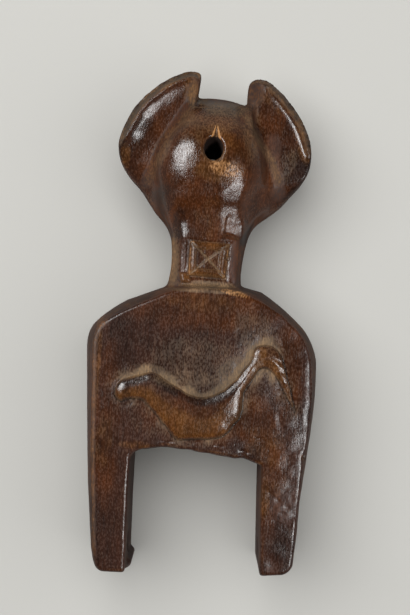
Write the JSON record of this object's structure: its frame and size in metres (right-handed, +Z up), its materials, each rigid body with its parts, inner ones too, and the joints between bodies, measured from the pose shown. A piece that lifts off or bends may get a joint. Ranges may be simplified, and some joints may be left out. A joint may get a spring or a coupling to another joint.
{
  "type": "heddle pulley",
  "caption": "Carved wooden heddle pulley lying on its front: arched stirrup body with tapering legs, a bird in low relief on the back, a waisted neck and an animal head with dished ears.",
  "frame": {"origin": "on the surface that the pulley lies on, under the middle of its outline", "axes": "+X across the body, +Y along the length from the feet to the ears, +Z up, out of the carved back"},
  "size_m": [0.076, 0.1636, 0.0395],
  "materials": {
    "carved_wood": "dark red-brown handled patina, semi-gloss, dusty in the recesses"
  },
  "bodies": {
    "root": {"heddle_pulley": "carved_wood"}
  },
  "joints": []
}
